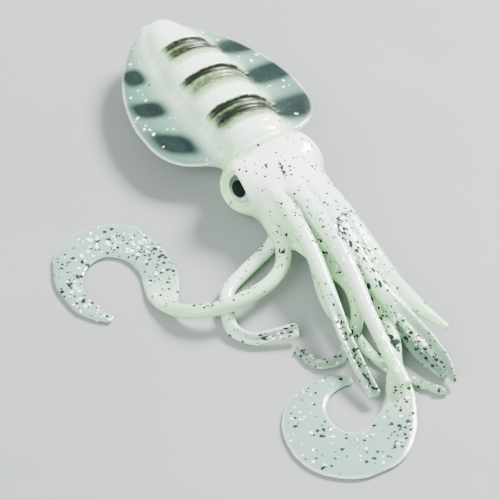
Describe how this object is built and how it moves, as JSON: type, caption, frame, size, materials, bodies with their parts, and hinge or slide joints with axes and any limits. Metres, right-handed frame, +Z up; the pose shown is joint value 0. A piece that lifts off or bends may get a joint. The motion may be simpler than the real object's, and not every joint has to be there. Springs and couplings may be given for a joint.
{
  "type": "soft plastic squid fishing lure",
  "caption": "Soft plastic squid lure with ringed mantle, side fins, set-in eyes, loose arms and curl-tailed tentacles, lying on its belly.",
  "frame": {"origin": "middle of the lure's footprint on the surface that it lies on", "axes": "+Y along the mantle towards its tip, +X to the lure's right-hand side, +Z up"},
  "size_m": [0.071, 0.1288, 0.0132],
  "materials": {
    "pearl_plastic": "glossy, slightly translucent pearl-white soft vinyl with grey bars, dark flakes and silver glitter",
    "eye": "glossy moulded eye, black pupil on a pale pearl iris"
  },
  "bodies": {
    "root": {"squid_body": "pearl_plastic", "eye_left": "eye", "eye_right": "eye"}
  },
  "joints": []
}
